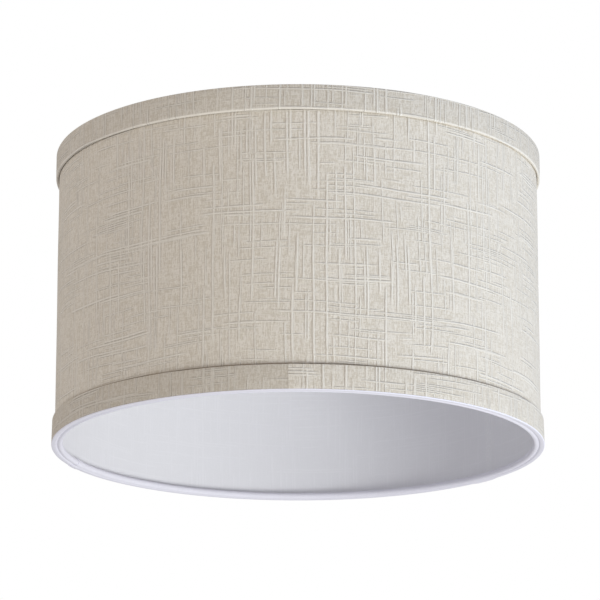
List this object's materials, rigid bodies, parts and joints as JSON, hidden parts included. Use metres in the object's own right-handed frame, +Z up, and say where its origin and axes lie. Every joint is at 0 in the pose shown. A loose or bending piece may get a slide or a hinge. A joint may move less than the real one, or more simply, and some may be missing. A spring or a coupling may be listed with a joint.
{
  "type": "lamp shade",
  "caption": "Drum lamp shade in slub linen laminated to a white liner, with linen bands, tape-bound wire rims and a dropped spider fitter that sits on a lamp's harp.",
  "frame": {"origin": "centre of the bottom rim, on the plane that the shade rests on", "axes": "+Z up along the drum's axis; +X to the right and +Y to the rear, with the rolled sheet's seam at the rear right"},
  "size_m": [0.3298, 0.3298, 0.202],
  "materials": {
    "linen": "slub linen weave, warm oatmeal, matt with a faint nap",
    "liner": "white styrene sheet, satin",
    "binding": "white cotton binding tape, fine plain weave",
    "adhesive": "clear adhesive strip, hidden in the seam",
    "wire": "bright zinc-plated steel"
  },
  "bodies": {
    "root": {"linen_cover": "linen", "white_liner": "liner", "seam_adhesive_strip": "adhesive", "bottom_ring": "wire", "top_ring": "wire", "bottom_binding": "binding", "top_binding": "binding", "bottom_band": "linen", "top_band": "linen", "fitter_washer": "wire", "spider_arm_1": "wire", "spider_arm_2": "wire", "spider_arm_3": "wire"}
  },
  "joints": []
}
